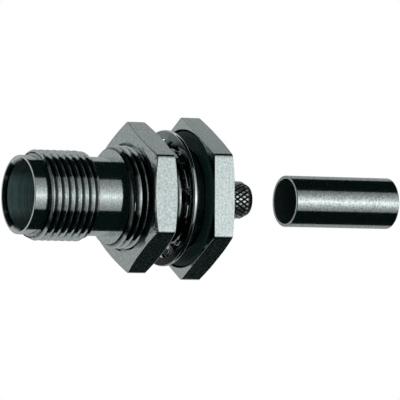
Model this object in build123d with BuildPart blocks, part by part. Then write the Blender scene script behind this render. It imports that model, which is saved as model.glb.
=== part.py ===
import math
import os

from build123d import *

os.makedirs("parts", exist_ok=True)

# Bulkhead jack for a coaxial cable, with its loose crimp ferrule behind it.
# Millimetres, +Z up. The axis of every turned piece lies along X, with the open mouth towards -X.
# X = 0 is the front face of the hexagonal flange, where the panel seats.

# Lengths along the axis of the turned body
nose_length = 1.75
coupling_length = 6.75
neck_length = 3.8
barrel_length = 10.1
flange_thickness = 2.8
post_length = 6.3

# Radii of the turned body
nose_radius = 4.83
coupling_radius = 5.555
neck_radius = 4.85
barrel_radius = 6.35
flange_across_flats = 17.53
post_radius = 2.33

# Coupling thread, 60 degree flanks
inch = 25.4
coupling_turns_per_inch = 28
thread_flank_angle = 30.0
thread_sink = 0.08
thread_spare = 0.1

# Edges of the turned body
edge_break = 0.12
mouth_chamfer = 0.5
coupling_chamfer = 0.5
barrel_chamfer = 0.5
flange_chamfer_angle = 12.0
flange_corner_drop = 0.26
post_tip_length = 0.87
post_tip_depth = 0.43

# Hollows of the turned body
socket_radius = 4.05
socket_depth = 8.4
cavity_radius = 3.27
cavity_end = 0.6
cable_radius = 1.55
gasket_recess_wall = 0.165
gasket_recess_depth = 1.0

# Insulator and centre contact
insulator_clearance = 0.02
contact_clearance = 0.02
contact_ring_clearance = 0.05
pin_radius = 0.685
pin_recess = 5.0
pin_taper_length = 0.4
pin_tip_radius = 0.3
pin_tip_length = 0.55
contact_radius = 1.08
contact_ring_radius = 1.3
contact_ring_width = 0.9
contact_ring_setback = 10.0
contact_tail_gap = 0.3
crimp_well_radius = 0.5
crimp_well_depth = 3.6
sight_hole_radius = 0.3
sight_hole_setback = 2.2

# Gasket in the flange
gasket_clearance = 0.05
gasket_thickness = 1.05
gasket_edge_break = 0.3

# Lock washer with twisted inner teeth
washer_rear_gap = 2.11
washer_thickness = 0.55
washer_outer_radius = 8.43
washer_ring_width = 1.05
washer_tooth_count = 10
washer_tooth_width = 2.4
washer_tooth_thickness = 0.5
washer_tooth_twist = 24.0
washer_tooth_root = 0.25

# Mounting nut
thread_clearance = 0.05
washer_tooth_clearance = 0.1
nut_rear_gap = 4.72
nut_thickness = 3.12
nut_across_flats = 16.26
nut_rest_turn = -0.7
nut_chamfer_angle = 15.5
nut_corner_drop = 0.37
nut_countersink = 0.3

# Crimp ferrule, shown off the post
ferrule_gap = 5.7
ferrule_length = 14.85
ferrule_radius = 3.225
ferrule_wall = 0.4
ferrule_edge_break = 0.06

# Stations along the axis, worked out from the lengths
neck_start = -(barrel_length + neck_length)
coupling_start = neck_start - coupling_length
nose_start = coupling_start - nose_length
socket_end = nose_start + socket_depth
post_end = flange_thickness + post_length

# Width of the round recess that the flats leave for the gasket
gasket_recess_radius = flange_across_flats / 2 - gasket_recess_wall

# Form of the coupling thread: a sharp V of height H, cut flat an eighth from its tip
coupling_pitch = inch / coupling_turns_per_inch
sharp_height = coupling_pitch / (2 * math.tan(math.radians(thread_flank_angle)))
thread_depth = sharp_height * 5 / 8
crest_half_width = coupling_pitch / 16
coupling_root_radius = coupling_radius - thread_depth


def corner_waste(face, inward, across_flats, angle, drop):
    """Half section of what a chamfering tool takes off a hexagon's corners at one face."""
    corner_radius = across_flats / math.sqrt(3)
    slope = math.tan(math.radians(angle))
    spare = 1.0
    return Polyline(
        (face, corner_radius - drop / slope),
        (face + inward * (drop + spare * slope), corner_radius + spare),
        (face, corner_radius + spare),
        close=True,
    )


# Coupling thread: one ridge swept along the helix, its ends turned off to the barrel's chamfers
ridge_foot_radius = coupling_root_radius - thread_sink
ridge_foot_half_width = crest_half_width + (thread_depth + thread_sink) * math.tan(
    math.radians(thread_flank_angle)
)
with BuildPart() as coupling_thread:
    with BuildLine() as thread_path:
        Helix(
            pitch=coupling_pitch,
            height=coupling_length + 2 * coupling_pitch,
            radius=ridge_foot_radius,
            center=(coupling_start - coupling_pitch, 0, 0),
            direction=(1, 0, 0),
        )
    ridge_start = thread_path.line @ 0
    ridge_plane = Plane(
        origin=ridge_start,
        x_dir=Vector(0, ridge_start.Y, ridge_start.Z),
        z_dir=thread_path.line % 0,
    )
    with BuildSketch(ridge_plane):
        with BuildLine():
            Polyline(
                (0, -ridge_foot_half_width),
                (thread_depth + thread_sink, -crest_half_width),
                (thread_depth + thread_sink, crest_half_width),
                (0, ridge_foot_half_width),
                close=True,
            )
        make_face()
    sweep(path=thread_path.line, is_frenet=True)
    with BuildSketch(Plane.XY):
        with BuildLine():
            Polyline(
                (coupling_start, ridge_foot_radius - thread_spare),
                (coupling_start, coupling_radius - coupling_chamfer),
                (coupling_start + coupling_chamfer + thread_spare, coupling_radius + thread_spare),
                (neck_start - coupling_chamfer - thread_spare, coupling_radius + thread_spare),
                (neck_start, coupling_radius - coupling_chamfer),
                (neck_start, ridge_foot_radius - thread_spare),
                close=True,
            )
        make_face()
    revolve(axis=Axis.X, mode=Mode.INTERSECT)

# Connector body: one turned brass piece, from the mouth to the tip of the crimp post
with BuildPart() as connector_body:
    with BuildSketch(Plane.XY):
        with BuildLine():
            Polyline(
                (nose_start, socket_radius + mouth_chamfer),
                (nose_start, nose_radius - edge_break),
                (nose_start + edge_break, nose_radius),
                (coupling_start, nose_radius),
                (coupling_start, coupling_root_radius),
                (neck_start, coupling_root_radius),
                (neck_start, neck_radius),
                (-barrel_length, neck_radius),
                (-barrel_length, barrel_radius - barrel_chamfer),
                (-barrel_length + barrel_chamfer, barrel_radius),
                (gasket_recess_depth, barrel_radius),
                (gasket_recess_depth, gasket_recess_radius),
                (flange_thickness, gasket_recess_radius),
                (flange_thickness, post_radius),
                (post_end - post_tip_length, post_radius),
                (post_end, post_radius - post_tip_depth),
                (post_end, cable_radius),
                (cavity_end, cable_radius),
                (cavity_end, cavity_radius),
                (socket_end, cavity_radius),
                (socket_end, socket_radius),
                (nose_start + mouth_chamfer, socket_radius),
                close=True,
            )
        make_face()
    revolve(axis=Axis.X)
    add(coupling_thread.part)

    # Hexagonal flange, milled on the same bar and chamfered at its rear corners
    with BuildSketch(Plane.YZ):
        RegularPolygon(radius=flange_across_flats / 2, side_count=6, major_radius=False, rotation=90)
        Circle(gasket_recess_radius, mode=Mode.SUBTRACT)
    extrude(amount=flange_thickness)
    with BuildSketch(Plane.XY):
        with BuildLine():
            corner_waste(
                flange_thickness, -1, flange_across_flats, flange_chamfer_angle, flange_corner_drop
            )
        make_face()
    revolve(axis=Axis.X, mode=Mode.SUBTRACT)

connector_body.part.label = "connector_body"
export_step(connector_body.part, "parts/connector_body.step")

# Insulator: a turned plastic bead with a counterbore at the rear that stops the contact's ring
insulator_radius = cavity_radius - insulator_clearance
contact_ring_front = socket_end + contact_ring_setback
insulator_length = cavity_end - insulator_clearance - socket_end
with BuildPart() as insulator:
    with BuildSketch(Plane.YZ.offset(socket_end)):
        Circle(insulator_radius)
        Circle(contact_radius + contact_clearance, mode=Mode.SUBTRACT)
    extrude(amount=insulator_length)
    with BuildSketch(Plane.YZ.offset(contact_ring_front - contact_clearance)):
        Circle(contact_ring_radius + contact_ring_clearance)
    extrude(amount=insulator_length, mode=Mode.SUBTRACT)

insulator.part.label = "insulator"
export_step(insulator.part, "parts/insulator.step")

# Centre contact: the pin of the reversed polarity, with a tapered tip and a crimp well behind
pin_front = nose_start + pin_recess
contact_rear = cavity_end - contact_tail_gap
with BuildPart() as centre_contact:
    with BuildSketch(Plane.XY):
        with BuildLine():
            Polyline(
                (pin_front, 0),
                (pin_front, pin_tip_radius),
                (pin_front + pin_tip_length, pin_radius),
                (socket_end, pin_radius),
                (socket_end + pin_taper_length, contact_radius),
                (contact_ring_front, contact_radius),
                (contact_ring_front, contact_ring_radius),
                (contact_ring_front + contact_ring_width, contact_ring_radius),
                (contact_ring_front + contact_ring_width, contact_radius),
                (contact_rear, contact_radius),
                (contact_rear, crimp_well_radius),
                (contact_rear - crimp_well_depth, crimp_well_radius),
                (contact_rear - crimp_well_depth, 0),
                close=True,
            )
        make_face()
    revolve(axis=Axis.X)
    with BuildSketch(Plane.XY):
        with Locations((contact_rear - sight_hole_setback, 0)):
            Circle(sight_hole_radius)
    extrude(amount=contact_ring_radius, mode=Mode.SUBTRACT)

centre_contact.part.label = "centre_contact"
export_step(centre_contact.part, "parts/centre_contact.step")

# Gasket: a moulded rubber ring seated in the flange's round recess, its front edges bevelled
with BuildPart() as gasket:
    with BuildSketch(Plane.YZ.offset(gasket_recess_depth)):
        Circle(gasket_recess_radius - gasket_clearance)
        Circle(barrel_radius + gasket_clearance, mode=Mode.SUBTRACT)
    extrude(amount=-gasket_thickness)
    front_edges = gasket.edges().group_by(Axis.X)[0]
    chamfer(front_edges, length=gasket_edge_break)

gasket.part.label = "gasket"
export_step(gasket.part, "parts/gasket.step")

# Lock washer: a thin stamped ring whose inner teeth are turned about their own radial lines
washer_middle = -washer_rear_gap - washer_thickness / 2
washer_inner_radius = washer_outer_radius - washer_ring_width
washer_tip_radius = barrel_radius + washer_tooth_clearance
washer_root_radius = washer_inner_radius + washer_tooth_root
washer_pierce_margin = 0.15
with BuildPart() as washer_tooth:
    tooth_foot = Vector(washer_middle, 0, washer_root_radius)
    with BuildSketch(Plane(origin=tooth_foot, x_dir=(1, 0, 0), z_dir=(0, 0, -1))):
        Rectangle(washer_tooth_thickness, washer_tooth_width, rotation=washer_tooth_twist)
    extrude(amount=washer_root_radius - washer_tip_radius + washer_pierce_margin)

washer_teeth = [
    Rot(X=360 / washer_tooth_count * (tooth + 0.5)) * washer_tooth.part
    for tooth in range(washer_tooth_count)
]
with BuildPart() as lock_washer:
    with BuildSketch(Plane.YZ.offset(washer_middle)):
        Circle(washer_outer_radius)
        Circle(washer_inner_radius, mode=Mode.SUBTRACT)
    extrude(amount=washer_thickness / 2, both=True)
    add(washer_teeth)

    # The teeth's inner ends are pierced to one round hole
    with BuildSketch(Plane.YZ.offset(washer_middle)):
        Circle(washer_tip_radius)
    extrude(amount=washer_tooth_width, both=True, mode=Mode.SUBTRACT)

lock_washer.part.label = "lock_washer"
export_step(lock_washer.part, "parts/lock_washer.step")

# Hexagon nut, chamfered at the corners of both faces and countersunk at its front
nut_rear = -nut_rear_gap
nut_front = nut_rear - nut_thickness
nut_bore_radius = barrel_radius + thread_clearance
with BuildPart() as hex_nut:
    with BuildSketch(Plane.YZ.offset(nut_front)):
        RegularPolygon(
            radius=nut_across_flats / 2,
            side_count=6,
            major_radius=False,
            rotation=90 + nut_rest_turn,
        )
        Circle(nut_bore_radius, mode=Mode.SUBTRACT)
    extrude(amount=nut_thickness)
    for face, inward in ((nut_front, 1), (nut_rear, -1)):
        with BuildSketch(Plane.XY):
            with BuildLine():
                corner_waste(face, inward, nut_across_flats, nut_chamfer_angle, nut_corner_drop)
            make_face()
        revolve(axis=Axis.X, mode=Mode.SUBTRACT)
    bore_edges = hex_nut.edges().filter_by(GeomType.CIRCLE).filter_by(
        lambda edge: abs(edge.radius - nut_bore_radius) < thread_clearance / 2
    )
    chamfer(bore_edges, length=nut_countersink)

hex_nut.part.label = "hex_nut"
export_step(hex_nut.part, "parts/hex_nut.step")

# Crimp ferrule: a thin drawn tube that slides forward over the post and the cable's braid
ferrule_front = post_end + ferrule_gap
ferrule_rear = ferrule_front + ferrule_length
ferrule_bore_radius = ferrule_radius - ferrule_wall
with BuildPart() as crimp_ferrule:
    with BuildSketch(Plane.XY):
        with BuildLine():
            Polyline(
                (ferrule_front, ferrule_bore_radius),
                (ferrule_front, ferrule_radius - ferrule_edge_break),
                (ferrule_front + ferrule_edge_break, ferrule_radius),
                (ferrule_rear - ferrule_edge_break, ferrule_radius),
                (ferrule_rear, ferrule_radius - ferrule_edge_break),
                (ferrule_rear, ferrule_bore_radius),
                close=True,
            )
        make_face()
    revolve(axis=Axis.X)

crimp_ferrule.part.label = "crimp_ferrule"
export_step(crimp_ferrule.part, "parts/crimp_ferrule.step")
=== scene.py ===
import math

import bmesh
import bpy
from mathutils import Matrix, Vector


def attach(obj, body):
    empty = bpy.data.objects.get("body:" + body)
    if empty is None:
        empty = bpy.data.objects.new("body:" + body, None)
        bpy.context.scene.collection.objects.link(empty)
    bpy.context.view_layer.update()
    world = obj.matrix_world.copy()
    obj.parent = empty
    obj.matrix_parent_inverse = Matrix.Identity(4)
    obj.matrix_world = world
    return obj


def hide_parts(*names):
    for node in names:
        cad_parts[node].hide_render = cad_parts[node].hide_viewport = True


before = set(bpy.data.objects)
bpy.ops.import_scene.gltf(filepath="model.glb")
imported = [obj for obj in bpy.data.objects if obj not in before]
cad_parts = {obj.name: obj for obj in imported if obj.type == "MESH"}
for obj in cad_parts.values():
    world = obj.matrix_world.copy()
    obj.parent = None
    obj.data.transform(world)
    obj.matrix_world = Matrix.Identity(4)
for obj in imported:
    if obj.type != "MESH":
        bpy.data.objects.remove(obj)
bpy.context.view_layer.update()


# Camera
# A long lens about half a metre in front of the jack, a little below its axis.
# It stands on the side of the open mouth and looks square at the photograph's middle.
scene = bpy.context.scene
scene.view_settings.view_transform = "Standard"
mm = 0.001
camera_place = Vector((-247.01, -461.99, -21.79)) * mm
camera_roll = math.radians(-0.3)
level_right = Vector((0.87955, -0.47575, 0.00779))
level_up = Vector((-0.02647, -0.03257, 0.99912))
camera_back = level_right.cross(level_up)
camera_right = level_right * math.cos(camera_roll) + level_up * math.sin(camera_roll)
camera_up = level_up * math.cos(camera_roll) - level_right * math.sin(camera_roll)
camera_data = bpy.data.cameras.new("camera")
camera_data.sensor_width = 36
camera_data.lens = 380.93
camera_data.clip_start = 0.05
camera_data.clip_end = 20
camera = bpy.data.objects.new("camera", camera_data)
camera_turn = Matrix((camera_right, camera_up, camera_back)).transposed().to_4x4()
camera.matrix_world = Matrix.Translation(camera_place) @ camera_turn
scene.collection.objects.link(camera)
scene.camera = camera


# Connector body
# One piece of brass bar, turned, threaded, knurled and milled to a hexagon.
# It is plated with bright nickel, with painted shade in the bore and in the bottoms of grooves.
# It holds the insulator in its cavity and the gasket in the round recess of its flange.
nose_front = -22.4 * mm
nose_radius = 4.83 * mm
socket_radius = 4.05 * mm
mouth_chamfer = 0.5 * mm
socket_end = -14.0 * mm
coupling_front = -20.65 * mm
coupling_rear = -13.9 * mm
coupling_radius = 5.555 * mm
neck_radius = 4.85 * mm
barrel_front = -10.1 * mm
barrel_radius = 6.35 * mm
barrel_thread_end = -1.35 * mm
barrel_runout = 0.15 * mm
inch = 25.4 * mm
turns_per_inch = 28
thread_pitch = inch / turns_per_inch
crest_share = 1 / 16
flank_share = 5 / 16
flank_angle = 60.0
thread_depth = flank_share * thread_pitch * math.tan(math.radians(flank_angle))
thread_rounding = 0.1
coupling_chamfer = 0.3 * mm
barrel_chamfer = 0.5 * mm
recess_radius = 8.6 * mm
recess_depth = 1.0 * mm
flange_half_width = 17.53 / 2 * mm
flange_rear = 2.8 * mm
flange_chamfer_angle = 12.0
flange_corner_drop = 0.26 * mm
post_rear = 9.1 * mm
post_radius = 2.33 * mm
post_tip_radius = 1.9 * mm
post_tip_length = 0.87 * mm
knurl_depth = 0.24 * mm
knurl_count = 24
knurl_length = 0.98 * mm
knurl_groove_slope = 4
cavity_radius = 3.27 * mm
cavity_rear = 0.6 * mm
cable_radius = 1.55 * mm
edge_break = 0.12 * mm
hexagon_edge = 0.2 * mm
hexagon_rim = 0.1 * mm
columns = 192
rows_per_pitch = 16
rows_per_diamond = 8
lead_turns = 2
weld_distance = 0.002 * mm
speck = 0.001 * mm
hair = 0.01 * mm


def worked_out(tree, operation, *terms):
    """A Math node of a geometry or shader tree: a term is a socket or a number."""
    node = tree.nodes.new("ShaderNodeMath")
    node.operation = operation
    for socket, term in zip(node.inputs, terms):
        if isinstance(term, bpy.types.NodeSocket):
            tree.links.new(term, socket)
        else:
            socket.default_value = term
    return node.outputs[0]


def geometry_tree(name, floats=(), whole=()):
    """A new geometry tree with named sizes and a material, with its input and output nodes."""
    tree = bpy.data.node_groups.new(name, "GeometryNodeTree")
    for label in floats:
        tree.interface.new_socket(label, in_out="INPUT", socket_type="NodeSocketFloat")
    for label in whole:
        tree.interface.new_socket(label, in_out="INPUT", socket_type="NodeSocketInt")
    tree.interface.new_socket("Material", in_out="INPUT", socket_type="NodeSocketMaterial")
    tree.interface.new_socket("Geometry", in_out="OUTPUT", socket_type="NodeSocketGeometry")
    return tree, tree.nodes.new("NodeGroupInput"), tree.nodes.new("NodeGroupOutput")


def finish_tree(tree, given, result, geometry):
    """Ends a geometry tree: real instances, then the finish."""
    realize = tree.nodes.new("GeometryNodeRealizeInstances")
    finish = tree.nodes.new("GeometryNodeSetMaterial")
    tree.links.new(geometry, realize.inputs["Geometry"])
    tree.links.new(realize.outputs["Geometry"], finish.inputs["Geometry"])
    tree.links.new(given.outputs["Material"], finish.inputs["Material"])
    tree.links.new(finish.outputs["Geometry"], result.inputs["Geometry"])


def wrapped_grid(tree, rows, around, place):
    """A grid rolled round the X axis: place makes X and radius of its shares of length and turn."""
    grid = tree.nodes.new("GeometryNodeMeshGrid")
    grid.inputs["Size X"].default_value = 1
    grid.inputs["Size Y"].default_value = 1
    tree.links.new(worked_out(tree, "ADD", rows, 1), grid.inputs["Vertices X"])
    tree.links.new(worked_out(tree, "ADD", around, 1), grid.inputs["Vertices Y"])
    position = tree.nodes.new("GeometryNodeInputPosition")
    split = tree.nodes.new("ShaderNodeSeparateXYZ")
    tree.links.new(position.outputs[0], split.inputs[0])
    along = worked_out(tree, "ADD", split.outputs["X"], 0.5)
    turn = worked_out(tree, "ADD", split.outputs["Y"], 0.5)
    station, radius = place(along, turn)
    angle = worked_out(tree, "MULTIPLY", turn, math.tau)
    moved = tree.nodes.new("ShaderNodeCombineXYZ")
    tree.links.new(station, moved.inputs["X"])
    for operation, axis in (("COSINE", "Y"), ("SINE", "Z")):
        part = worked_out(tree, operation, angle)
        tree.links.new(worked_out(tree, "MULTIPLY", radius, part), moved.inputs[axis])
    put = tree.nodes.new("GeometryNodeSetPosition")
    tree.links.new(grid.outputs["Mesh"], put.inputs["Geometry"])
    tree.links.new(moved.outputs[0], put.inputs["Position"])
    weld = tree.nodes.new("GeometryNodeMergeByDistance")
    weld.inputs["Distance"].default_value = weld_distance
    tree.links.new(put.outputs["Geometry"], weld.inputs["Geometry"])
    return weld.outputs["Geometry"]


def thread_tree(name, inward):
    """A thread of 60 degrees, cut back to the edge radius at both ends by 45 degree chamfers."""
    tree, given, result = geometry_tree(
        name, ("Pitch", "Crest Radius", "Depth", "Start", "End", "Edge Radius"), ("Rows", "Columns")
    )
    size = given.outputs

    def place(along, turn):
        rows_down = worked_out(tree, "MULTIPLY", along, size["Rows"])
        pitches = worked_out(tree, "DIVIDE", rows_down, rows_per_pitch)
        lead = worked_out(tree, "ADD", worked_out(tree, "SUBTRACT", pitches, lead_turns), turn)
        station = worked_out(tree, "MULTIPLY_ADD", lead, size["Pitch"], size["Start"])
        station = worked_out(tree, "MAXIMUM", station, size["Start"])
        station = worked_out(tree, "MINIMUM", station, size["End"])
        share = worked_out(tree, "FRACT", worked_out(tree, "ADD", pitches, 0.5))
        off_crest = worked_out(tree, "ABSOLUTE", worked_out(tree, "SUBTRACT", share, 0.5))
        off_flat = worked_out(tree, "SUBTRACT", off_crest, crest_share)
        flank = worked_out(tree, "DIVIDE", off_flat, flank_share)
        flank = worked_out(tree, "SMOOTH_MAX", flank, 0, thread_rounding)
        flank = worked_out(tree, "SMOOTH_MIN", flank, 1, thread_rounding)
        drop = worked_out(tree, "MULTIPLY", flank, size["Depth"])
        radius = worked_out(tree, "SUBTRACT", size["Crest Radius"], drop)
        from_start = worked_out(tree, "SUBTRACT", station, size["Start"])
        to_end = worked_out(tree, "SUBTRACT", size["End"], station)
        reach = worked_out(tree, "MINIMUM", from_start, to_end)
        if inward:
            limit = worked_out(tree, "SUBTRACT", size["Edge Radius"], reach)
            return station, worked_out(tree, "MAXIMUM", radius, limit)
        limit = worked_out(tree, "ADD", size["Edge Radius"], reach)
        return station, worked_out(tree, "MINIMUM", radius, limit)

    rolled = wrapped_grid(tree, size["Rows"], size["Columns"], place)
    finish_tree(tree, given, result, rolled)
    return tree


def made_by(tree, name, **sizes):
    """Runs a geometry tree once and returns the plain mesh that it makes."""
    carrier = bpy.data.objects.new(name, bpy.data.meshes.new(name))
    scene.collection.objects.link(carrier)
    modifier = carrier.modifiers.new(name, "NODES")
    modifier.node_group = tree
    for item in tree.interface.items_tree:
        key = item.name.replace(" ", "_").lower()
        if item.in_out == "INPUT" and key in sizes:
            modifier[item.identifier] = sizes[key]
    depsgraph = bpy.context.evaluated_depsgraph_get()
    made = bpy.data.meshes.new_from_object(carrier.evaluated_get(depsgraph))
    carrier.modifiers.remove(modifier)
    bpy.data.objects.remove(carrier)
    return made


def thread_rows(start, end):
    """The grid's rows for a thread, with spare turns for its lead at both ends."""
    return rows_per_pitch * (math.ceil((end - start) / thread_pitch) + lead_turns + 1)


def turned_ring(bm, station, radius):
    """One ring of the turned surface; station and radius are numbers, or functions of the angle."""
    ring = []
    for column in range(columns):
        angle = math.tau * column / columns
        x = station(angle) if callable(station) else station
        r = radius(angle) if callable(radius) else radius
        ring.append(bm.verts.new((x, r * math.cos(angle), r * math.sin(angle))))
    return ring


def turned_skin(bm, stations, closed=False):
    """Skins a run of rings, given as pairs of station and radius."""
    rings = [turned_ring(bm, station, radius) for station, radius in stations]
    pairs = list(zip(rings, rings[1:]))
    if closed:
        pairs.append((rings[-1], rings[0]))
    for first, second in pairs:
        for column in range(columns):
            after = (column + 1) % columns
            bm.faces.new((first[column], second[column], second[after], first[after]))


def rounded(corner, before, after, radius, steps=3):
    """The points of a small arc that breaks one corner of a profile."""
    corner, before, after = Vector(corner), Vector(before), Vector(after)
    start = corner + (before - corner).normalized() * radius
    end = corner + (after - corner).normalized() * radius
    points = []
    for step in range(steps + 1):
        t = step / steps
        point = start * (1 - t) ** 2 + corner * 2 * t * (1 - t) + end * t**2
        points.append((point.x, point.y))
    return points


def off_axis(point):
    """A point's distance from the jack's axis."""
    return math.hypot(point.y, point.z)


def closed_piece(bm, name, finishes, sharp_angle=28, flat_angle=6, wide_share=4):
    """Welds a piece's seams, turns its faces outwards, keeps wide faces flat and adds finishes."""
    bmesh.ops.remove_doubles(bm, verts=bm.verts, dist=weld_distance)
    bmesh.ops.dissolve_degenerate(bm, edges=bm.edges, dist=speck / 2)
    bmesh.ops.recalc_face_normals(bm, faces=bm.faces)
    if bm.calc_volume(signed=True) < 0:
        bmesh.ops.reverse_faces(bm, faces=bm.faces)
    for face in bm.faces:
        face.smooth = True
        face.material_index = min(face.material_index, len(finishes) - 1)
    for edge in bm.edges:
        turn = math.degrees(edge.calc_face_angle(0))
        areas = sorted(face.calc_area() for face in edge.link_faces)
        alike = turn < flat_angle or areas[1] < wide_share * areas[0]
        edge.smooth = turn < sharp_angle and alike
    mesh = bpy.data.meshes.new(name)
    bm.to_mesh(mesh)
    bm.free()
    for finish in finishes:
        mesh.materials.append(finish)
    piece = bpy.data.objects.new(name, mesh)
    scene.collection.objects.link(piece)
    return piece


def hexagon_radius(half_width, angle):
    """Distance from the axis to a hexagon with corners straight up and down."""
    off_flat = (angle + math.radians(30)) % math.radians(60) - math.radians(30)
    return half_width / math.cos(off_flat)


def corner_edge(half_width, face, inward, slope_angle, drop):
    """Where the cone that chamfers a hexagon's corners leaves its sides and its face."""
    slope = math.tan(math.radians(slope_angle))
    face_radius = half_width / math.cos(math.radians(30)) - drop / slope

    def side_station(angle):
        return face + inward * slope * max(hexagon_radius(half_width, angle) - face_radius, 0)

    def rim_radius(angle):
        return min(hexagon_radius(half_width, angle), face_radius)

    return side_station, rim_radius


def round_hexagon(bm, half_width, front, rear, rim_share=0.98, rim_angle=50):
    """Dulls the six long edges of a hexagon, and the rims where its sides meet its faces."""
    bmesh.ops.remove_doubles(bm, verts=bm.verts, dist=weld_distance)
    corner = half_width / math.cos(math.radians(30))
    for width, segments in ((hexagon_edge, 3), (hexagon_rim, 2)):
        chosen = []
        for edge in bm.edges:
            ends = [vert.co for vert in edge.verts]
            radius = min(off_axis(end) for end in ends)
            inside = all(front - speck < end.x < rear + speck for end in ends)
            if radius < half_width * rim_share or not inside:
                continue
            along = (ends[0] - ends[1]).cross(Vector((1, 0, 0))).length < speck
            if width == hexagon_edge:
                if along and radius > corner - speck:
                    chosen.append(edge)
            elif not along and len(edge.link_faces) == 2:
                if edge.calc_face_angle() > math.radians(rim_angle):
                    chosen.append(edge)
        bmesh.ops.bevel(
            bm,
            geom=chosen,
            offset=width,
            offset_type="OFFSET",
            segments=segments,
            profile=0.5,
            affect="EDGES",
            clamp_overlap=True,
        )


def plating_marks(ring_scale=6000, ring_share=0.8, roughness_swing=0.12):
    """Shader group: fine mottling of a plated surface, with faint marks of the tool that turned it.

    Its shade is painted shade: it falls from 1 to Far Shade with the distance from a lit height.
    """
    group = bpy.data.node_groups.new("plating_marks", "ShaderNodeTree")
    for label, value in (
        ("Grain", 900.0),
        ("Mottle", 0.1),
        ("Turning", 0.3),
        ("Base Roughness", 0.16),
        ("Far Shade", 1.0),
        ("Lit Height", 0.0),
        ("Lit Reach", 1.0),
        ("Fade", 1.0),
    ):
        socket = group.interface.new_socket(label, in_out="INPUT", socket_type="NodeSocketFloat")
        socket.default_value = value
    for label in ("Shade", "Roughness", "Height"):
        group.interface.new_socket(label, in_out="OUTPUT", socket_type="NodeSocketFloat")
    given = group.nodes.new("NodeGroupInput")
    result = group.nodes.new("NodeGroupOutput")
    where = group.nodes.new("ShaderNodeTexCoord")
    fine = group.nodes.new("ShaderNodeTexNoise")
    fine.inputs["Detail"].default_value = 4
    fine.inputs["Roughness"].default_value = 0.65
    group.links.new(where.outputs["Object"], fine.inputs["Vector"])
    group.links.new(given.outputs["Grain"], fine.inputs["Scale"])
    rings = group.nodes.new("ShaderNodeTexNoise")
    rings.noise_dimensions = "1D"
    rings.inputs["Scale"].default_value = ring_scale
    rings.inputs["Detail"].default_value = 2
    split = group.nodes.new("ShaderNodeSeparateXYZ")
    group.links.new(where.outputs["Object"], split.inputs[0])
    group.links.new(split.outputs["X"], rings.inputs["W"])
    mottle = worked_out(group, "SUBTRACT", fine.outputs["Fac"], 0.5)
    shade = worked_out(group, "MULTIPLY_ADD", mottle, given.outputs["Mottle"], 1)
    streak = worked_out(group, "SUBTRACT", rings.outputs["Fac"], 0.5)
    streak = worked_out(group, "MULTIPLY", streak, given.outputs["Turning"])
    shade = worked_out(group, "MULTIPLY_ADD", streak, ring_share, shade)
    # Painted shade: away from the lit height the colour falls to Far Shade.
    off_lit = worked_out(group, "SUBTRACT", split.outputs["Z"], given.outputs["Lit Height"])
    off_lit = worked_out(group, "ABSOLUTE", off_lit)
    past_lit = worked_out(group, "SUBTRACT", off_lit, given.outputs["Lit Reach"])
    past_lit = worked_out(group, "DIVIDE", past_lit, given.outputs["Fade"])
    fade = group.nodes.new("ShaderNodeMapRange")
    group.links.new(past_lit, fade.inputs["Value"])
    fade.inputs["To Min"].default_value = 1
    group.links.new(given.outputs["Far Shade"], fade.inputs["To Max"])
    shade = worked_out(group, "MULTIPLY", shade, fade.outputs["Result"])
    base = given.outputs["Base Roughness"]
    rough = worked_out(group, "MULTIPLY_ADD", mottle, roughness_swing, base)
    turning = worked_out(group, "MULTIPLY", rings.outputs["Fac"], given.outputs["Turning"])
    height = worked_out(group, "ADD", fine.outputs["Fac"], turning)
    group.links.new(shade, result.inputs["Shade"])
    group.links.new(rough, result.inputs["Roughness"])
    group.links.new(height, result.inputs["Height"])
    return group


marks = plating_marks()


def valley_mask():
    """Shader group: a point's height above the bottom of the grooves in a round bar along X."""
    group = bpy.data.node_groups.new("valley_mask", "ShaderNodeTree")
    for label in ("Crest Radius", "Depth"):
        group.interface.new_socket(label, in_out="INPUT", socket_type="NodeSocketFloat")
    group.interface.new_socket("Height", in_out="OUTPUT", socket_type="NodeSocketFloat")
    given = group.nodes.new("NodeGroupInput")
    result = group.nodes.new("NodeGroupOutput")
    where = group.nodes.new("ShaderNodeTexCoord")
    split = group.nodes.new("ShaderNodeSeparateXYZ")
    group.links.new(where.outputs["Object"], split.inputs[0])
    squares = [worked_out(group, "POWER", split.outputs[axis], 2) for axis in ("Y", "Z")]
    radius = worked_out(group, "SQRT", worked_out(group, "ADD", *squares))
    sunk = worked_out(group, "SUBTRACT", given.outputs["Crest Radius"], radius)
    share = worked_out(group, "DIVIDE", sunk, given.outputs["Depth"])
    height = worked_out(group, "SUBTRACT", 1, share)
    group.links.new(height, result.inputs["Height"])
    return group


valleys = valley_mask()


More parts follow.
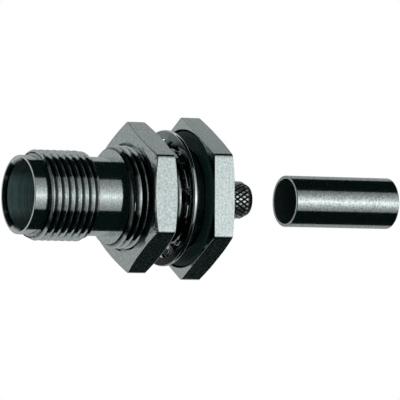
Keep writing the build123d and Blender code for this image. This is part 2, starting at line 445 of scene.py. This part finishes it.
def plated(
    name,
    colour,
    grain=4200,
    mottle=1.5,
    turning=0.5,
    roughness=0.12,
    bump=0.02,
    metallic=1.0,
    far_shade=1.0,
    lit_height=0.0,
    lit_reach=1.0,
    fade=1.0,
    crest=0.0,
    depth=0.0,
    sunk=0.0,
    clean=1.0,
    groove_shade=0.0,
):
    """A plated metal with the marks group and its painted shade.

    Where a crest radius is given, the grooves below it get painted shade, darkest up to the height
    sunk, and at full colour from the upper height on; heights run from 0 at a groove's bottom to 1
    at its crest.
    """
    material = bpy.data.materials.new(name)
    material.use_nodes = True
    tree = material.node_tree
    shader = tree.nodes["Principled BSDF"]
    shader.inputs["Metallic"].default_value = metallic
    marks_and_shade = tree.nodes.new("ShaderNodeGroup")
    marks_and_shade.node_tree = marks
    for label, value in (
        ("Grain", grain),
        ("Mottle", mottle),
        ("Turning", turning),
        ("Base Roughness", roughness),
        ("Far Shade", far_shade),
        ("Lit Height", lit_height),
        ("Lit Reach", lit_reach),
        ("Fade", fade),
    ):
        marks_and_shade.inputs[label].default_value = value
    tint = tree.nodes.new("ShaderNodeMix")
    tint.data_type = "RGBA"
    tint.blend_type = "MULTIPLY"
    tint.inputs["Factor"].default_value = 1
    tint.inputs["A"].default_value = (*colour, 1)
    shade = marks_and_shade.outputs["Shade"]
    # Painted shade at the bottoms of the grooves.
    if crest:
        grooves = tree.nodes.new("ShaderNodeGroup")
        grooves.node_tree = valleys
        grooves.inputs["Crest Radius"].default_value = crest
        grooves.inputs["Depth"].default_value = depth
        reach = tree.nodes.new("ShaderNodeMapRange")
        reach.inputs["From Min"].default_value = sunk
        reach.inputs["From Max"].default_value = clean
        reach.inputs["To Min"].default_value = groove_shade
        tree.links.new(grooves.outputs["Height"], reach.inputs["Value"])
        shade = worked_out(tree, "MULTIPLY", shade, reach.outputs["Result"])
    tree.links.new(shade, tint.inputs["B"])
    tree.links.new(tint.outputs["Result"], shader.inputs["Base Color"])
    tree.links.new(marks_and_shade.outputs["Roughness"], shader.inputs["Roughness"])
    relief = tree.nodes.new("ShaderNodeBump")
    relief.inputs["Strength"].default_value = bump
    relief.inputs["Distance"].default_value = hair
    tree.links.new(marks_and_shade.outputs["Height"], relief.inputs["Height"])
    tree.links.new(relief.outputs["Normal"], shader.inputs["Normal"])
    return material


bright_nickel = plated("bright_nickel", (0.67, 0.72, 0.715))
# Painted shade: the bore is dark and dull, and darker still towards its top and bottom.
bore_nickel = plated(
    "bore_nickel",
    (0.078, 0.14, 0.14),
    grain=1600,
    mottle=0.8,
    turning=2.0,
    roughness=0.75,
    bump=0.1,
    metallic=0.1,
    far_shade=0.3,
    lit_reach=1.8 * mm,
    fade=1.2 * mm,
)
# Painted shade in the coupling thread: dark at the bottoms of its grooves, full colour near the
# crests.
coupling_nickel = plated(
    "coupling_nickel",
    (0.72, 0.77, 0.765),
    mottle=1.8,
    crest=coupling_radius,
    depth=thread_depth,
    clean=0.48,
    groove_shade=0.05,
)
# The mounting thread: a brighter copy of the nickel as a painted highlight on its crests, with
# painted shade down its grooves.
barrel_nickel = plated(
    "barrel_nickel",
    (0.92, 0.98, 0.97),
    crest=barrel_radius,
    depth=thread_depth,
    clean=0.95,
    groove_shade=0.02,
)
# The knurl: a brighter copy of the nickel as a painted highlight on its diamonds, with painted
# shade in its grooves.
knurl_nickel = plated(
    "knurl_nickel",
    (0.95, 1.0, 0.99),
    mottle=0.6,
    turning=0.0,
    roughness=0.3,
    crest=post_radius,
    depth=knurl_depth,
    sunk=0.3,
    groove_shade=0.01,
)
# The mouth's face and chamfer: a painted highlight on the outer rim, with painted shade towards the
# bore.
mouth_nickel = plated(
    "mouth_nickel",
    (0.95, 1.0, 0.99),
    crest=socket_radius + mouth_chamfer,
    depth=mouth_chamfer,
    sunk=0.2,
    clean=0.9,
    groove_shade=0.03,
)

outer_thread = thread_tree("outer_thread", inward=False)


def diamond_knurl_tree():
    """Two crossing families of grooves round the post, run out at the flange and at the tip."""
    tree, given, result = geometry_tree(
        "diamond_knurl",
        ("Radius", "Depth", "Start", "End", "Tip Radius", "Tip Slope"),
        ("Rows", "Columns", "Count"),
    )
    size = given.outputs

    def place(along, turn):
        run = worked_out(tree, "SUBTRACT", size["End"], size["Start"])
        station = worked_out(tree, "MULTIPLY_ADD", along, run, size["Start"])
        across = worked_out(tree, "MULTIPLY", turn, size["Count"])
        rows_down = worked_out(tree, "MULTIPLY", along, size["Rows"])
        down = worked_out(tree, "DIVIDE", rows_down, rows_per_diamond)
        heights = []
        for operation in ("ADD", "SUBTRACT"):
            share = worked_out(tree, operation, across, down)
            share = worked_out(tree, "FRACT", worked_out(tree, "ADD", share, 0.5))
            off_groove = worked_out(tree, "ABSOLUTE", worked_out(tree, "SUBTRACT", share, 0.5))
            rise = worked_out(tree, "MULTIPLY", off_groove, knurl_groove_slope)
            heights.append(worked_out(tree, "MINIMUM", rise, 1))
        height = worked_out(tree, "MINIMUM", *heights)
        root = worked_out(tree, "SUBTRACT", size["Radius"], size["Depth"])
        radius = worked_out(tree, "MULTIPLY_ADD", height, size["Depth"], root)
        from_start = worked_out(tree, "SUBTRACT", station, size["Start"])
        front = worked_out(tree, "ADD", root, from_start)
        to_end = worked_out(tree, "SUBTRACT", size["End"], station)
        rear = worked_out(tree, "MULTIPLY_ADD", to_end, size["Tip Slope"], size["Tip Radius"])
        radius = worked_out(tree, "MINIMUM", radius, front)
        return station, worked_out(tree, "MINIMUM", radius, rear)

    rolled = wrapped_grid(tree, size["Rows"], size["Columns"], place)
    creased = tree.nodes.new("GeometryNodeTriangulate")
    creased.quad_method = "SHORTEST_DIAGONAL"
    tree.links.new(rolled, creased.inputs["Mesh"])
    finish_tree(tree, given, result, creased.outputs["Mesh"])
    return tree


body = bmesh.new()
for front, rear, radius, chamfer in (
    (coupling_front, coupling_rear, coupling_radius, coupling_chamfer),
    (barrel_front, barrel_thread_end, barrel_radius, barrel_chamfer),
):
    body.from_mesh(
        made_by(
            outer_thread,
            "turned_thread",
            pitch=thread_pitch,
            crest_radius=radius,
            depth=thread_depth,
            start=front,
            end=rear,
            edge_radius=radius - chamfer,
            rows=thread_rows(front, rear),
            columns=columns,
            material=bright_nickel,
        )
    )
body.from_mesh(
    made_by(
        diamond_knurl_tree(),
        "post_knurl",
        radius=post_radius,
        depth=knurl_depth,
        start=flange_rear,
        end=post_rear,
        tip_radius=post_tip_radius,
        tip_slope=(post_radius - post_tip_radius) / post_tip_length,
        rows=round((post_rear - flange_rear) / knurl_length * rows_per_diamond),
        columns=columns,
        count=knurl_count,
        material=bright_nickel,
    )
)
flange_side, flange_rim = corner_edge(
    flange_half_width, flange_rear, -1, flange_chamfer_angle, flange_corner_drop
)
turned_skin(
    body,
    [
        (socket_end, cavity_radius),
        (socket_end, socket_radius),
        (nose_front + mouth_chamfer, socket_radius),
        (nose_front, socket_radius + mouth_chamfer),
        *rounded((nose_front, nose_radius), (nose_front, 0), (0, nose_radius), edge_break),
        (coupling_front, nose_radius),
        (coupling_front, coupling_radius - coupling_chamfer),
    ],
)
turned_skin(
    body,
    [
        (coupling_rear, coupling_radius - coupling_chamfer),
        (coupling_rear, neck_radius),
        (barrel_front, neck_radius),
        (barrel_front, barrel_radius - barrel_chamfer),
    ],
)
turned_skin(
    body,
    [
        (barrel_thread_end, barrel_radius - barrel_chamfer),
        (barrel_thread_end + barrel_runout, barrel_radius - barrel_chamfer),
        (barrel_thread_end + 2 * barrel_runout, barrel_radius),
        (recess_depth, barrel_radius),
        (recess_depth, recess_radius),
        (0, recess_radius),
        (0, lambda angle: hexagon_radius(flange_half_width, angle)),
        (flange_side, lambda angle: hexagon_radius(flange_half_width, angle)),
        (flange_rear, flange_rim),
        (flange_rear, post_radius - knurl_depth),
    ],
)
turned_skin(
    body,
    [
        (post_rear, post_tip_radius),
        (post_rear, cable_radius),
        (cavity_rear, cable_radius),
        (cavity_rear, cavity_radius),
        (socket_end, cavity_radius),
    ],
)
bmesh.ops.remove_doubles(body, verts=body.verts, dist=weld_distance)
round_hexagon(body, flange_half_width, 0, flange_rear)
body_finishes = [
    bright_nickel,
    bore_nickel,
    coupling_nickel,
    barrel_nickel,
    knurl_nickel,
    mouth_nickel,
]
mouth_edge = socket_radius + mouth_chamfer
# The bore's faces get painted shade, the mouth a painted rim highlight, threads and knurl painted
# groove shade.
for face in body.faces:
    middle = face.calc_center_median()
    radius = off_axis(middle)
    finish = bright_nickel
    if nose_front < middle.x < cavity_rear and radius < socket_radius + hair:
        finish = bore_nickel
    elif middle.x < nose_front + hair or (middle.x < coupling_front and radius < mouth_edge):
        finish = mouth_nickel
    elif coupling_front + hair < middle.x < coupling_rear - hair:
        finish = coupling_nickel
    elif barrel_front + hair < middle.x < barrel_thread_end - hair:
        finish = barrel_nickel
    elif flange_rear + hair < middle.x < post_rear - hair and radius > cable_radius + hair:
        finish = knurl_nickel
    face.material_index = body_finishes.index(finish)
turned_body = closed_piece(body, "turned_body", body_finishes)
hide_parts("connector_body")
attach(turned_body, "connector")


# Insulator
# A turned bead of white plastic, pushed into the body's cavity from the rear.
# Its counterbore stops the ring of the centre contact.
bead_front = -14.0 * mm
bead_rear = 0.58 * mm
bead_radius = 3.25 * mm
bead_bore = 1.1 * mm
bead_counterbore = 1.35 * mm
counterbore_front = -4.02 * mm
bead_edge = 0.1 * mm

white_plastic = bpy.data.materials.new("white_plastic")
white_plastic.use_nodes = True
plastic_tree = white_plastic.node_tree
plastic_shader = plastic_tree.nodes["Principled BSDF"]
plastic_shader.inputs["Roughness"].default_value = 0.45
plastic_where = plastic_tree.nodes.new("ShaderNodeTexCoord")
plastic_cloud = plastic_tree.nodes.new("ShaderNodeTexNoise")
plastic_cloud.inputs["Scale"].default_value = 700
plastic_colour = plastic_tree.nodes.new("ShaderNodeValToRGB")
plastic_colour.color_ramp.elements[0].color = (0.8, 0.8, 0.77, 1)
plastic_colour.color_ramp.elements[1].color = (0.9, 0.9, 0.88, 1)
plastic_tree.links.new(plastic_where.outputs["Object"], plastic_cloud.inputs["Vector"])
plastic_tree.links.new(plastic_cloud.outputs["Fac"], plastic_colour.inputs["Fac"])
plastic_tree.links.new(plastic_colour.outputs["Color"], plastic_shader.inputs["Base Color"])

bead = bmesh.new()
turned_skin(
    bead,
    [
        (bead_front, bead_bore),
        (bead_front, bead_radius - bead_edge),
        (bead_front + bead_edge, bead_radius),
        (bead_rear, bead_radius),
        (bead_rear, bead_counterbore),
        (counterbore_front, bead_counterbore),
        (counterbore_front, bead_bore),
    ],
    closed=True,
)
insulator_bead = closed_piece(bead, "insulator_bead", [white_plastic])
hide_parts("insulator")
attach(insulator_bead, "connector")


# Centre contact
# A turned brass pin with a round tip, gold plated, that the insulator holds by its ring.
# The cable's inner conductor is crimped into the well at its rear.
pin_front = -17.4 * mm
pin_radius = 0.685 * mm
contact_radius = 1.08 * mm
contact_front = -14.0 * mm
contact_taper = 0.4 * mm
ring_front = -4.0 * mm
ring_width = 0.9 * mm
ring_radius = 1.3 * mm
contact_rear = 0.3 * mm
well_radius = 0.5 * mm
well_front = -3.3 * mm
tip_steps = 8

gold_plate = plated(
    "gold_plate",
    (0.83, 0.62, 0.27),
    grain=2600,
    mottle=0.1,
    turning=0.4,
    roughness=0.2,
    bump=0.2,
)
pin = bmesh.new()
tip_points = []
for step in range(1, tip_steps + 1):
    lean = math.pi / 2 * step / tip_steps
    tip_points.append((pin_front + pin_radius * (1 - math.cos(lean)), pin_radius * math.sin(lean)))
turned_skin(
    pin,
    [
        (pin_front, 0),
        *tip_points,
        (contact_front, pin_radius),
        (contact_front + contact_taper, contact_radius),
        (ring_front, contact_radius),
        (ring_front, ring_radius),
        (ring_front + ring_width, ring_radius),
        (ring_front + ring_width, contact_radius),
        (contact_rear, contact_radius),
        (contact_rear, well_radius),
        (well_front, well_radius),
        (well_front, 0),
    ],
)
centre_pin = closed_piece(pin, "centre_pin", [gold_plate])
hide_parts("centre_contact")
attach(centre_pin, "connector")


# Gasket
# A moulded ring of black rubber, seated on the floor of the flange's recess, a little proud of it.
# Its edges are rounded by the mould, the outer one more than the inner.
gasket_inner = 6.4 * mm
gasket_outer = 8.55 * mm
gasket_front = -0.05 * mm
gasket_rear = 1.0 * mm
gasket_round = 0.3 * mm
gasket_crown = 0.75 * mm

black_rubber = bpy.data.materials.new("black_rubber")
black_rubber.use_nodes = True
rubber_tree = black_rubber.node_tree
rubber_shader = rubber_tree.nodes["Principled BSDF"]
rubber_shader.inputs["Base Color"].default_value = (0.006, 0.0185, 0.0175, 1)
rubber_shader.inputs["Specular IOR Level"].default_value = 0.12
rubber_shader.inputs["Specular Tint"].default_value = (0.7, 1.0, 0.97, 1)
rubber_where = rubber_tree.nodes.new("ShaderNodeTexCoord")
rubber_cloud = rubber_tree.nodes.new("ShaderNodeTexNoise")
rubber_cloud.inputs["Scale"].default_value = 1200
rubber_sheen = rubber_tree.nodes.new("ShaderNodeMapRange")
rubber_sheen.inputs["To Min"].default_value = 0.25
rubber_sheen.inputs["To Max"].default_value = 0.4
rubber_tree.links.new(rubber_where.outputs["Object"], rubber_cloud.inputs["Vector"])
rubber_tree.links.new(rubber_cloud.outputs["Fac"], rubber_sheen.inputs["Value"])
rubber_tree.links.new(rubber_sheen.outputs["Result"], rubber_shader.inputs["Roughness"])

seal = bmesh.new()
turned_skin(
    seal,
    [
        (gasket_rear, gasket_inner),
        *rounded(
            (gasket_front, gasket_inner),
            (gasket_rear, gasket_inner),
            (gasket_front, gasket_outer),
            gasket_round,
            steps=4,
        ),
        *rounded(
            (gasket_front, gasket_outer),
            (gasket_front, gasket_inner),
            (gasket_rear, gasket_outer),
            gasket_crown,
            steps=8,
        ),
        (gasket_rear, gasket_outer),
    ],
    closed=True,
)
rubber_gasket = closed_piece(seal, "rubber_gasket", [black_rubber], sharp_angle=40)
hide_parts("gasket")
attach(rubber_gasket, "connector")


# Lock washer
# A thin ring stamped from plated bronze, loose on the mounting thread.
# Its inner teeth are twisted, so that their edges bite the nut and the panel.
washer_middle = -2.385 * mm
washer_thickness = 0.55 * mm
washer_outer = 8.43 * mm
washer_inner = 7.38 * mm
tooth_count = 10
tooth_width = 2.4 * mm
tooth_thickness = 0.5 * mm
tooth_twist = 24.0
tooth_tip = 6.45 * mm
tooth_root = 7.63 * mm
tooth_cuts = (3, 13, 7)
washer_edge = 0.24 * mm
washer_edge_steps = 6
highlight_share = 0.4


def washer_teeth_tree():
    """One twisted tooth, placed round the washer's axis."""
    tree, given, result = geometry_tree(
        "washer_teeth",
        ("Middle", "Tip", "Root", "Width", "Thickness", "Twist"),
        ("Count",),
    )
    size = given.outputs
    cube = tree.nodes.new("GeometryNodeMeshCube")
    for axis, cuts in zip("XYZ", tooth_cuts):
        cube.inputs["Vertices " + axis].default_value = cuts
    position = tree.nodes.new("GeometryNodeInputPosition")
    split = tree.nodes.new("ShaderNodeSeparateXYZ")
    tree.links.new(position.outputs[0], split.inputs[0])
    outward = worked_out(tree, "ADD", split.outputs["Z"], 0.5)
    thick = worked_out(tree, "MULTIPLY", split.outputs["X"], size["Thickness"])
    wide = worked_out(tree, "MULTIPLY", split.outputs["Y"], size["Width"])
    inward = worked_out(tree, "SUBTRACT", 1, outward)
    twist = worked_out(tree, "MULTIPLY", inward, size["Twist"])
    cosine = worked_out(tree, "COSINE", twist)
    sine = worked_out(tree, "SINE", twist)
    leaned = worked_out(tree, "MULTIPLY", wide, sine)
    station = worked_out(tree, "SUBTRACT", worked_out(tree, "MULTIPLY", thick, cosine), leaned)
    spread = worked_out(tree, "MULTIPLY", wide, cosine)
    sideways = worked_out(tree, "MULTIPLY_ADD", thick, sine, spread)
    reach = worked_out(tree, "SUBTRACT", size["Root"], size["Tip"])
    radial = worked_out(tree, "MULTIPLY_ADD", outward, reach, size["Tip"])
    across = worked_out(tree, "MULTIPLY", sideways, sideways)
    squared = worked_out(tree, "SUBTRACT", worked_out(tree, "MULTIPLY", radial, radial), across)
    height = worked_out(tree, "SQRT", squared)
    moved = tree.nodes.new("ShaderNodeCombineXYZ")
    tree.links.new(worked_out(tree, "ADD", station, size["Middle"]), moved.inputs["X"])
    tree.links.new(sideways, moved.inputs["Y"])
    tree.links.new(height, moved.inputs["Z"])
    put = tree.nodes.new("GeometryNodeSetPosition")
    tree.links.new(cube.outputs["Mesh"], put.inputs["Geometry"])
    tree.links.new(moved.outputs[0], put.inputs["Position"])
    places = tree.nodes.new("GeometryNodeMeshLine")
    tree.links.new(size["Count"], places.inputs["Count"])
    places.inputs["Offset"].default_value = (0, 0, 0)
    number = tree.nodes.new("GeometryNodeInputIndex")
    half_on = worked_out(tree, "ADD", number.outputs[0], 0.5)
    turns = worked_out(tree, "DIVIDE", half_on, size["Count"])
    angle = worked_out(tree, "MULTIPLY", turns, math.tau)
    spin = tree.nodes.new("ShaderNodeCombineXYZ")
    tree.links.new(angle, spin.inputs["X"])
    copies = tree.nodes.new("GeometryNodeInstanceOnPoints")
    tree.links.new(places.outputs["Mesh"], copies.inputs["Points"])
    tree.links.new(put.outputs["Geometry"], copies.inputs["Instance"])
    tree.links.new(spin.outputs[0], copies.inputs["Rotation"])
    finish_tree(tree, given, result, copies.outputs["Instances"])
    return tree


# Painted shade: the washer is a darker copy of the nickel that darkens further from its top towards
# its bottom.
washer_light = {"lit_height": washer_outer, "lit_reach": 9.4 * mm, "fade": 4 * mm}
washer_nickel = plated(
    "washer_nickel",
    (0.36, 0.39, 0.385),
    grain=2600,
    mottle=1.2,
    turning=0.1,
    roughness=0.16,
    bump=0.03,
    far_shade=0.08,
    **washer_light,
)
# A bright copy of the nickel on the washer's outer rim: a painted highlight, also darker towards
# the bottom.
sheared_edge = plated(
    "sheared_edge",
    (0.94, 1.0, 0.99),
    grain=3000,
    mottle=0.5,
    turning=0.1,
    roughness=0.1,
    bump=0.03,
    far_shade=0.5,
    **washer_light,
)
washer = bmesh.new()
washer_front = washer_middle - washer_thickness / 2
washer_rear = washer_middle + washer_thickness / 2
turned_skin(
    washer,
    [
        (washer_front, washer_inner),
        *rounded(
            (washer_front, washer_outer),
            (washer_front, washer_inner),
            (washer_middle, washer_outer),
            washer_edge,
            washer_edge_steps,
        ),
        *rounded(
            (washer_rear, washer_outer),
            (washer_middle, washer_outer),
            (washer_rear, washer_inner),
            washer_edge,
            washer_edge_steps,
        ),
        (washer_rear, washer_inner),
    ],
    closed=True,
)
washer.from_mesh(
    made_by(
        washer_teeth_tree(),
        "washer_teeth",
        middle=washer_middle,
        tip=tooth_tip,
        root=tooth_root,
        width=tooth_width,
        thickness=tooth_thickness,
        twist=math.radians(tooth_twist),
        count=tooth_count,
        material=washer_nickel,
    )
)
bmesh.ops.remove_doubles(washer, verts=washer.verts, dist=weld_distance)
# The outer rim's faces take the painted highlight.
highlight_radius = washer_outer - highlight_share * washer_edge
for face in washer.faces:
    face.material_index = int(off_axis(face.calc_center_median()) > highlight_radius)
toothed_washer = closed_piece(washer, "toothed_washer", [washer_nickel, sheared_edge])
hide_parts("lock_washer")
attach(toothed_washer, "washer")


# Mounting nut
# A hexagon nut of plated brass, tapped with the barrel's thread and run up to the washer.
# The corners of both faces are chamfered, and the bore is countersunk at both ends.
nut_front = -7.84 * mm
nut_rear = -4.72 * mm
nut_half_width = 16.26 / 2 * mm
nut_chamfer_angle = 15.5
nut_corner_drop = 0.37 * mm
nut_rest_turn = -0.7
nut_thread_clearance = 0.045 * mm
nut_countersink_radius = 6.75 * mm

nut_nickel = plated(
    "nut_nickel", (0.64, 0.69, 0.685), grain=3600, mottle=1.6, turning=0.0, roughness=0.13
)
nut = bmesh.new()
nut.from_mesh(
    made_by(
        thread_tree("inner_thread", inward=True),
        "tapped_thread",
        pitch=thread_pitch,
        crest_radius=barrel_radius + nut_thread_clearance,
        depth=thread_depth,
        start=nut_front,
        end=nut_rear,
        edge_radius=nut_countersink_radius,
        rows=thread_rows(nut_front, nut_rear),
        columns=columns,
        material=nut_nickel,
    )
)
front_side, front_rim = corner_edge(
    nut_half_width, nut_front, 1, nut_chamfer_angle, nut_corner_drop
)
rear_side, rear_rim = corner_edge(
    nut_half_width, nut_rear, -1, nut_chamfer_angle, nut_corner_drop
)
turned_skin(
    nut,
    [
        (nut_front, nut_countersink_radius),
        (nut_front, front_rim),
        (front_side, lambda angle: hexagon_radius(nut_half_width, angle)),
        (rear_side, lambda angle: hexagon_radius(nut_half_width, angle)),
        (nut_rear, rear_rim),
        (nut_rear, nut_countersink_radius),
    ],
)
round_hexagon(nut, nut_half_width, nut_front, nut_rear)
turned_to_rest = Matrix.Rotation(math.radians(nut_rest_turn), 3, "X")
bmesh.ops.rotate(nut, cent=(0, 0, 0), matrix=turned_to_rest, verts=nut.verts)
mounting_nut = closed_piece(nut, "mounting_nut", [nut_nickel])
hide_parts("hex_nut")
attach(mounting_nut, "nut")


# Crimp ferrule
# A thin drawn tube, plated with nickel, with painted shade inside and a painted highlight at its
# axis height.
# It is slid forward over the cable's braid on the post and crimped there.
ferrule_front = 14.8 * mm
ferrule_rear = 29.65 * mm
ferrule_radius = 3.225 * mm
ferrule_bore = 2.825 * mm
ferrule_edge = 0.1 * mm

# A brighter copy of the nickel with painted shade above and below: a painted highlight along the
# tube at its axis height.
ferrule_nickel = plated(
    "ferrule_nickel",
    (0.86, 0.92, 0.915),
    mottle=2.4,
    turning=0.05,
    roughness=0.13,
    bump=0.03,
    far_shade=0.6,
    lit_reach=0.0,
    fade=1.5 * mm,
)
# Painted shade inside the tube.
ferrule_lining = plated(
    "ferrule_lining",
    (0.012, 0.024, 0.023),
    grain=1600,
    mottle=0.5,
    turning=0.3,
    roughness=0.6,
    bump=0.05,
    metallic=0.1,
)
ferrule = bmesh.new()
ferrule_corners = [
    (ferrule_front, ferrule_bore),
    (ferrule_front, ferrule_radius),
    (ferrule_rear, ferrule_radius),
    (ferrule_rear, ferrule_bore),
]
ferrule_profile = []
for number, corner in enumerate(ferrule_corners):
    before = ferrule_corners[number - 1]
    after = ferrule_corners[(number + 1) % len(ferrule_corners)]
    ferrule_profile += rounded(corner, before, after, ferrule_edge)
turned_skin(ferrule, ferrule_profile, closed=True)
for face in ferrule.faces:
    face.material_index = int(off_axis(face.calc_center_median()) < ferrule_bore + hair)
drawn_ferrule = closed_piece(
    ferrule, "drawn_ferrule", [ferrule_nickel, ferrule_lining], sharp_angle=40
)
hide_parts("crimp_ferrule")
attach(drawn_ferrule, "ferrule")


# Studio
# A pale floor under the jack, in an even white studio. Cards that only bright metal mirrors make
# a tent round it: a long soft light in front, a dim one at the mouth and grey walls behind, with
# black card above, below and between them.
floor_level = -45
floor_reach = 1500
floor_white = (0.9, 0.9, 0.9, 1)
glow_colour = (0.94, 1.0, 0.995)
tent_colour = (0.0032, 0.0078, 0.0074)
tent_reach = 3000
tent_height = 1000
front_distance = 1000
wall_radius = 1300
wall_height = 1700
wall_steps = 8


def flat_sheet(name, points, material, faces=((0, 1, 2, 3),)):
    """A sheet of the studio, from points in millimetres."""
    mesh = bpy.data.meshes.new(name)
    mesh.from_pydata([Vector(point) * mm for point in points], [], faces)
    mesh.materials.append(material)
    sheet = bpy.data.objects.new(name, mesh)
    scene.collection.objects.link(sheet)
    return sheet


def level_sheet(name, reach, near, far, height, material):
    """A level sheet that reaches equally far to both sides."""
    corners = [(-reach, near), (reach, near), (reach, far), (-reach, far)]
    return flat_sheet(name, [(*corner, height) for corner in corners], material)


def curved_wall(name, first, last, material):
    """A wall round the jack between two bearings, in degrees from the side of the camera."""
    points, faces = [], []
    for step in range(wall_steps + 1):
        bearing = math.radians(first + (last - first) * step / wall_steps)
        across, along = wall_radius * math.sin(bearing), -wall_radius * math.cos(bearing)
        points += [(across, along, -wall_height), (across, along, wall_height)]
        if step:
            faces.append((2 * step - 2, 2 * step, 2 * step + 1, 2 * step - 1))
    return flat_sheet(name, points, material, faces)


def card_material(name, colour, strength, centre=0.0, fall=0.0, least=0.0, distance=1.0):
    """An even card, or where fall is given, one that fades above and below its centre.

    Centre and fall are degrees of elevation, seen from the jack at the card's distance in metres.
    """
    material = bpy.data.materials.new(name)
    material.use_nodes = True
    tree = material.node_tree
    tree.nodes.remove(tree.nodes["Principled BSDF"])
    glow = tree.nodes.new("ShaderNodeEmission")
    glow.inputs["Color"].default_value = (*colour, 1)
    glow.inputs["Strength"].default_value = strength
    if fall:
        where = tree.nodes.new("ShaderNodeTexCoord")
        split = tree.nodes.new("ShaderNodeSeparateXYZ")
        tree.links.new(where.outputs["Object"], split.inputs[0])
        slope = worked_out(tree, "DIVIDE", split.outputs["Z"], distance)
        elevation = worked_out(tree, "ARCTANGENT", slope)
        lift = worked_out(tree, "SUBTRACT", elevation, math.radians(centre))
        lift = worked_out(tree, "ABSOLUTE", lift)
        share = worked_out(tree, "EXPONENT", worked_out(tree, "DIVIDE", lift, -math.radians(fall)))
        light = worked_out(tree, "MULTIPLY_ADD", share, strength, least)
        tree.links.new(light, glow.inputs["Strength"])
    tree.links.new(glow.outputs[0], tree.nodes["Material Output"].inputs["Surface"])
    return material


pale_floor = bpy.data.materials.new("pale_floor")
pale_floor.use_nodes = True
floor_shader = pale_floor.node_tree.nodes["Principled BSDF"]
floor_shader.inputs["Base Color"].default_value = floor_white
floor_shader.inputs["Roughness"].default_value = 1
floor = level_sheet("floor", floor_reach, -floor_reach, floor_reach, floor_level, pale_floor)
floor.visible_glossy = False

black_card = card_material("black_card", tent_colour, 1.0)
rear_grey = card_material("rear_grey", glow_colour, 0.4)
front_light = card_material("front_light", glow_colour, 1.0, centre=-2.5, fall=21, least=0.14)
mouth_light = card_material("mouth_light", glow_colour, 0.32, fall=9, least=0.05, distance=1.3)
front_corners = [(-140, -949), (1732, -949), (1732, 1150), (-140, 1150)]
cards = [
    level_sheet("upper_card", tent_reach, -890, 620, tent_height, black_card),
    level_sheet("lower_card", tent_reach, -1100, 660, -tent_height, black_card),
    flat_sheet("front_card", [(x, -front_distance, z) for x, z in front_corners], front_light),
]
for name, first, last, paint in (
    ("side_wall", -76, -8, black_card),
    ("mouth_wall", -108, -76, mouth_light),
    ("far_wall", -124, -108, black_card),
    ("rear_wall", 118, 236, rear_grey),
    ("cable_wall", 58, 118, rear_grey),
):
    cards.append(curved_wall(name, first, last, paint))
for card in cards:
    card.visible_camera = False
    card.visible_diffuse = False
    card.visible_shadow = False
    card.visible_transmission = False

world = bpy.data.worlds.new("studio")
world.use_nodes = True
studio_white = world.node_tree.nodes["Background"]
studio_white.inputs["Color"].default_value = (1, 1, 1, 1)
studio_white.inputs["Strength"].default_value = 1
scene.world = world
